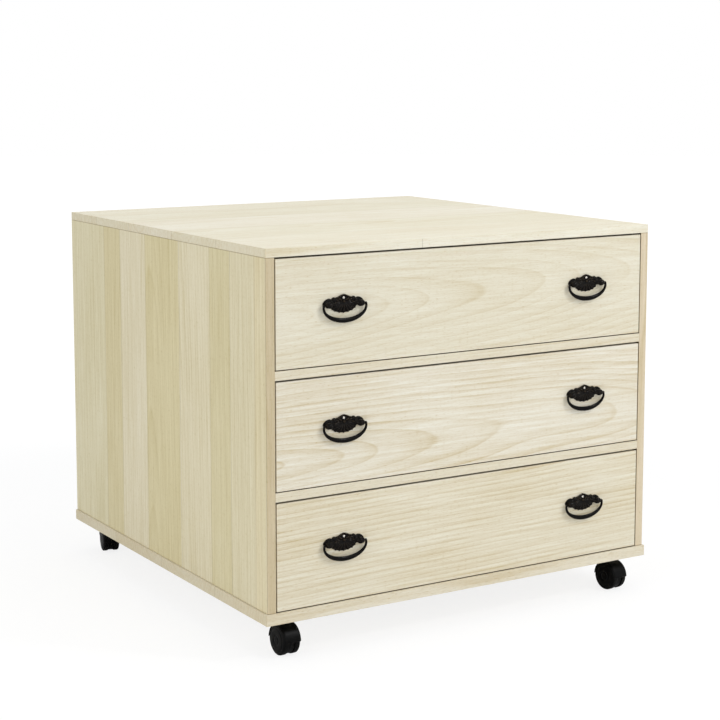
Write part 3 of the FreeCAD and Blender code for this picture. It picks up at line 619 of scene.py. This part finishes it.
def bailBar():
    inside = (bail["half"] - bail["endWidth"], bail["drop"] - bail["middleWidth"])

    # the matrix that puts a unit ring at a share of the way from the bottom to an end
    def station(share):
        ends = [arcSpot(bail["half"], bail["drop"], share), arcSpot(*inside, share)]
        middle = (ends[0] + ends[1]) / 2
        half = (ends[0] - ends[1]) / 2
        depth = min(bail["depth"] / 2, half.length * 1.25)
        tangent = half.normalized().cross(Vector((0.0, 1.0, 0.0)))
        columns = (half, Vector((0.0, depth, 0.0)), tangent)
        turned = Matrix([[column[row] for column in columns] for row in range(3)]).to_4x4()
        return Matrix.Translation(middle) @ turned

    shape = bmesh.new()
    places = [station(2 * step / bail["stations"] - 1) for step in range(bail["stations"] + 1)]
    # rounded ends past the pins
    for end, sign in ((places[0], -1), (places[-1], 1)):
        rounds = []
        for turn in (0.35, 0.7, 1.05, 1.35):
            lift = Vector((0.0, 0.0, bail["endWidth"] * 0.3 * math.sin(turn)))
            rounds.append(Matrix.Translation(lift) @ end
                          @ Matrix.Diagonal((math.cos(turn), math.cos(turn), 1.0, 1.0)))
        places = places + rounds if sign > 0 else rounds[::-1] + places
    bmesh.ops.create_circle(shape, cap_ends=False, segments=bail["sides"], radius=1.0,
                            matrix=places[0])
    edges = list(shape.edges)
    first = edges
    for before, after in zip(places, places[1:]):
        grown = bmesh.ops.extrude_edge_only(shape, edges=edges)["geom"]
        bmesh.ops.transform(shape, matrix=after @ before.inverted(),
                            verts=[part for part in grown if isinstance(part, bmesh.types.BMVert)])
        edges = [part for part in grown if isinstance(part, bmesh.types.BMEdge)
                 and part.is_boundary]
    bmesh.ops.contextual_create(shape, geom=first)
    bmesh.ops.contextual_create(shape, geom=edges)
    for side in (-1, 1):
        start = bail["half"] - bail["endWidth"] - bail["pinReach"]
        length = bail["half"] - bail["endWidth"] / 2 - start
        bmesh.ops.create_cone(shape, cap_ends=True, segments=32, radius1=bail["pin"],
                              radius2=bail["pin"], depth=length, matrix=Matrix.Translation(
                                  (side * (start + length / 2), 0.0, 0.0))
                              @ Matrix.Rotation(math.pi / 2, 4, "Y"))
        # forged shoulder that stops the pin's end outside the ear
        collar = bail["collar"]
        addBall(shape, collar["half"],
                (side * (bail["half"] - collar["inset"]), 0.0, -collar["drop"]))
    bmesh.ops.recalc_face_normals(shape, faces=shape.faces)
    return oneSkin(shape, bail["voxel"], 2)


# Nail: a low forged dome on a square shank
nail = {"head": 2.2, "dome": 1.4, "shank": 1.8, "length": 14.0, "height": 9.5}


def nailShape():
    shape = bmesh.new()
    head = addBall(shape, (nail["head"], nail["dome"], nail["head"]),
                   (0.0, -plate["thick"] - 0.1, nail["height"]))
    for vert in head:
        vert.co.y = min(vert.co.y, -plate["thick"])
    bmesh.ops.create_cube(shape, size=1.0, matrix=Matrix.Translation(
        (0.0, (nail["length"] - plate["thick"]) / 2, nail["height"])) @ Matrix.Diagonal(
            (nail["shank"], nail["length"] + plate["thick"], nail["shank"], 1.0)))
    for face in shape.faces:
        face.smooth = len(face.verts) < 5 and face.calc_area() < 1.0
    return shape


# copies one millimetre shape to each place, as one bmesh in metres
def placed(master, matrices):
    shape = bmesh.new()
    mesh = bpy.data.meshes.new("master")
    master.to_mesh(mesh)
    for matrix in matrices:
        start = len(shape.verts)
        shape.from_mesh(mesh)
        shape.verts.ensure_lookup_table()
        bmesh.ops.transform(shape, matrix=Matrix.Scale(mm, 4) @ matrix,
                            verts=shape.verts[start:])
    bpy.data.meshes.remove(mesh)
    return shape


handles = {"middle": 237.0, "face": -372.0, "axis": 172.9, "pitch": 187.5}
plateMaster = handlePlate()
bailMaster = bailBar()
nailMaster = nailShape()
print("handle masters ready:", len(plateMaster.faces), len(bailMaster.faces))
for tier, drawer in enumerate(("lower", "middle", "upper")):
    z = handles["axis"] + tier * handles["pitch"]
    spots = [Matrix.Translation((x, handles["face"], z))
             for x in (-handles["middle"], handles["middle"])]
    linkMesh(drawer + "-plates", placed(plateMaster, spots), [iron],
             [drawer + "_handle_plates"])
    linkMesh(drawer + "-nails", placed(nailMaster, spots), [steel],
             [drawer + "_handle_nails"])
    for side, spot in zip(("left", "right"), spots):
        reach = Matrix.Translation((0.0, plate["axis"], 0.0))
        linkMesh(drawer + "-" + side + "-bail", placed(bailMaster, [spot @ reach]), [iron],
                 [drawer + "_" + side + "_bail"])
print("handles ready")

# Casters, about the stem with the wheels at -Y: places across are along the axle from the middle
caster = {"trail": 16.0, "axle": 24.0, "steps": 72,
          "wheel": ((5.15, 2.62), (5.15, 12.0), (6.2, 12.6), (6.2, 20.4), (5.2, 21.2), (5.05, 22.9),
                    (5.5, 23.7), (6.4, 24.0), (12.0, 24.0), (13.2, 23.7), (14.1, 22.9),
                    (14.8, 21.6), (15.2, 19.8), (14.9, 19.2), (14.9, 18.5), (15.3, 18.0),
                    (15.6, 14.0), (15.7, 10.0), (15.7, 7.6), (15.3, 7.3), (15.3, 6.7),
                    (15.75, 6.3), (15.9, 4.0), (15.98, 0.0)),
          "guard": ((-15.3, 23.5), (-13.6, 24.75), (-12.2, 24.9), (12.2, 24.9), (13.6, 24.75),
                    (15.3, 23.5), (15.5, 23.9), (14.9, 24.7), (13.7, 25.6), (12.4, 26.1),
                    (10.0, 26.2), (-10.0, 26.2), (-12.4, 26.1), (-13.7, 25.6), (-14.9, 24.7),
                    (-15.5, 23.9)),
          "web": 4.5, "webRadius": 22.6, "hoodRadius": 25.6, "lip": 0.4, "guardInside": 24.9,
          "boss": 7.5, "bossLow": 30.0, "bossTop": 55.6, "voxel": 0.45,
          "shoulder": {"half": (9.0, 9.5, 4.0), "height": 45.6}, "holeDepth": 8.8}
corners = {"front_left": (-326.0, -326.0, 1.0), "front_right": (326.0, -326.0, 5.0),
           "rear_left": (-326.0, 326.0, 166.0), "rear_right": (326.0, 326.0, 205.0)}


# turns an outline of (across, radius) points about the axle
def turnOutline(shape, outline, angle, start, steps, closed):
    hub = Vector((0.0, -caster["trail"], caster["axle"]))
    tilt = Matrix.Rotation(start, 4, "X")
    verts = [shape.verts.new(hub + tilt @ Vector((across, radius, 0.0)))
             for across, radius in outline]
    pairs = list(zip(verts, verts[1:])) + ([(verts[-1], verts[0])] if closed else [])
    edges = [shape.edges.new(pair) for pair in pairs]
    whole = abs(angle - 2 * math.pi) < 1e-6
    done = bmesh.ops.spin(shape, geom=verts + edges, cent=hub, axis=(1.0, 0.0, 0.0),
                          angle=angle, steps=steps, use_merge=whole, use_duplicate=False)
    return edges, [part for part in done["geom_last"] if isinstance(part, bmesh.types.BMEdge)]


def wheelShape():
    shape = bmesh.new()
    turnOutline(shape, caster["wheel"], 2 * math.pi, 0.0, caster["steps"], False)
    bmesh.ops.remove_doubles(shape, verts=shape.verts, dist=1e-4)
    # blind end of the axle's hole
    rim = [edge for edge in shape.edges if edge.is_boundary]
    deep = bmesh.ops.extrude_edge_only(shape, edges=rim)["geom"]
    bmesh.ops.translate(shape, vec=(caster["holeDepth"], 0.0, 0.0),
                        verts=[part for part in deep if isinstance(part, bmesh.types.BMVert)])
    bmesh.ops.contextual_create(shape, geom=[edge for edge in shape.edges if edge.is_boundary])
    bmesh.ops.recalc_face_normals(shape, faces=shape.faces)
    for face in shape.faces:
        face.smooth = True
    return shape


def hoodShape():
    shape = bmesh.new()
    start, end = turnOutline(shape, caster["guard"], math.pi, 0.0, 56, True)
    bmesh.ops.contextual_create(shape, geom=start)
    bmesh.ops.contextual_create(shape, geom=end)
    hub = Vector((0.0, -caster["trail"], caster["axle"]))
    # the guard thins towards its ends
    for vert in shape.verts:
        arm = Vector((0.0, *(vert.co - hub)[1:]))
        turn = math.atan2(arm.z, abs(arm.y))
        past = arm.length - caster["guardInside"]
        if turn < caster["lip"] and past > 0.0:
            share = 0.3 + 0.7 * turn / caster["lip"]
            vert.co += arm.normalized() * past * (share - 1.0)
    # web between the wheels, and a wider half disc that carries it up into the guard
    for radius, isHalf in ((caster["webRadius"], False), (caster["hoodRadius"], True)):
        web = bmesh.ops.create_cone(shape, cap_ends=True, segments=80, radius1=radius,
                                    radius2=radius, depth=2 * caster["web"],
                                    matrix=Matrix.Translation(hub)
                                    @ Matrix.Rotation(math.pi / 2, 4, "Y"))["verts"]
        for vert in web if isHalf else ():
            vert.co.z = max(vert.co.z, caster["axle"])
    bmesh.ops.create_cone(shape, cap_ends=True, segments=48, radius1=caster["boss"],
                          radius2=caster["boss"], depth=caster["bossTop"] - caster["bossLow"],
                          matrix=Matrix.Translation(
                              (0.0, 0.0, (caster["bossTop"] + caster["bossLow"]) / 2)))
    addBall(shape, caster["shoulder"]["half"], (0.0, 0.0, caster["shoulder"]["height"]))
    bmesh.ops.recalc_face_normals(shape, faces=shape.faces)
    return oneSkin(shape, caster["voxel"], 2)


wheelMaster = wheelShape()
hoodMaster = hoodShape()
print("caster masters ready:", len(wheelMaster.faces), len(hoodMaster.faces))
for corner, (x, y, turn) in corners.items():
    spot = Matrix.Translation((x, y, 0.0)) @ Matrix.Rotation(math.radians(turn), 4, "Z")
    name = corner.replace("_", "-")
    linkMesh(name + "-hood", placed(hoodMaster, [spot]), [hoodNylon],
             [corner + "_caster_hood"])
    for side, flip in (("right", 1.0), ("left", -1.0)):
        shape = placed(wheelMaster, [spot @ Matrix.Diagonal((flip, 1.0, 1.0, 1.0))])
        bmesh.ops.recalc_face_normals(shape, faces=shape.faces)
        linkMesh(name + "-" + side + "-wheel", shape, [treadNylon],
                 [corner + "_caster_" + side + "_wheel"])
print("casters ready")

# Studio: even light from above and the front, and a pale floor that keeps the shadow
world = bpy.data.worlds.new("studio")
scene.world = world
world.use_nodes = True
tree = world.node_tree
tree.nodes.clear()
ray = addNode(tree, "LightPath", {}).outputs
seen = addNode(tree, "Math", {0: ray["Is Camera Ray"], 1: ray["Is Transmission Ray"]},
               operation="MAXIMUM").outputs[0]
seen = addNode(tree, "Math", {0: seen, 1: ray["Is Glossy Ray"]}, operation="MAXIMUM").outputs[0]
soft = addNode(tree, "Background", {"Color": linear("#f3f5f8"), "Strength": 0.57}).outputs[0]
white = addNode(tree, "Background", {"Color": (1.0, 1.0, 1.0, 1.0), "Strength": 1.0}).outputs[0]
sky = addNode(tree, "MixShader", {0: seen, 1: soft, 2: white}).outputs[0]
addNode(tree, "OutputWorld", {"Surface": sky})

lamps = {"over": ((0.2, 0.1, 3.4), (0.0, 0.0, 0.35), 2.5, 22.0),
         "key": ((1.9, -2.6, 2.7), (0.0, -0.2, 0.35), 0.5, 30.0),
         "front": ((0.9, -3.2, 1.5), (0.1, -0.3, 0.35), 2.2, 12.0),
         "left": ((-3.2, -0.9, 1.6), (-0.3, 0.0, 0.35), 2.0, 21.5)}
for name, (spot, aim, size, power) in lamps.items():
    light = bpy.data.lights.new(name, "AREA")
    light.shape = "DISK"
    light.size = size
    light.energy = power
    lamp = bpy.data.objects.new(name, light)
    lamp.location = spot
    lamp.rotation_euler = (Vector(aim) - Vector(spot)).to_track_quat("-Z", "Y").to_euler()
    scene.collection.objects.link(lamp)

# Paper backdrop, matt white
material, tree, shader = newMaterial("Backdrop paper, matt white")
shader.inputs["Base Color"].default_value = linear("#fafafa")
shader.inputs["Roughness"].default_value = 0.9
shader.inputs["Specular IOR Level"].default_value = 0.1
glow = addNode(tree, "Emission", {"Color": (1.0, 1.0, 1.0, 1.0), "Strength": 1.06}).outputs[0]
ray = addNode(tree, "LightPath", {}).outputs
# away from the object the floor turns into the white background
place = addNode(tree, "TexCoord", {}).outputs["Object"]
reach = addNode(tree, "VectorMath", {0: place}, operation="LENGTH").outputs["Value"]
reach = addNode(tree, "MapRange", {"Value": reach, "From Min": 0.9, "From Max": 2.2,
                                   "To Min": 0.78, "To Max": 1.0},
                interpolation_type="SMOOTHSTEP").outputs["Result"]
share = addNode(tree, "Math", {0: ray["Is Camera Ray"], 1: reach},
                operation="MULTIPLY").outputs[0]
mixed = addNode(tree, "MixShader", {0: share, 1: shader.outputs[0], 2: glow}).outputs[0]
tree.links.new(mixed, tree.nodes["Material Output"].inputs["Surface"])
shape = bmesh.new()
bmesh.ops.create_circle(shape, cap_ends=True, segments=64, radius=14.0)
floorMesh = bpy.data.meshes.new("floor")
shape.to_mesh(floorMesh)
shape.free()
floorMesh.materials.append(material)
floor = bpy.data.objects.new("floor", floorMesh)
scene.collection.objects.link(floor)

# the camera looks down a little on the left front corner
view = {"place": (-1.6112, -2.6478, 0.9180), "pitch": 6.944, "yaw": 31.683, "lens": 87.50,
        "shift": -0.12}
lens = bpy.data.cameras.new("camera")
lens.lens = view["lens"]
lens.sensor_width = 36.0
lens.shift_y = view["shift"]
lens.clip_end = 60.0
camera = bpy.data.objects.new("camera", lens)
camera.location = view["place"]
camera.rotation_euler = (math.radians(90 - view["pitch"]), 0.0, -math.radians(view["yaw"]))
scene.collection.objects.link(camera)
scene.camera = camera
scene.view_settings.view_transform = "Standard"
print("studio ready")
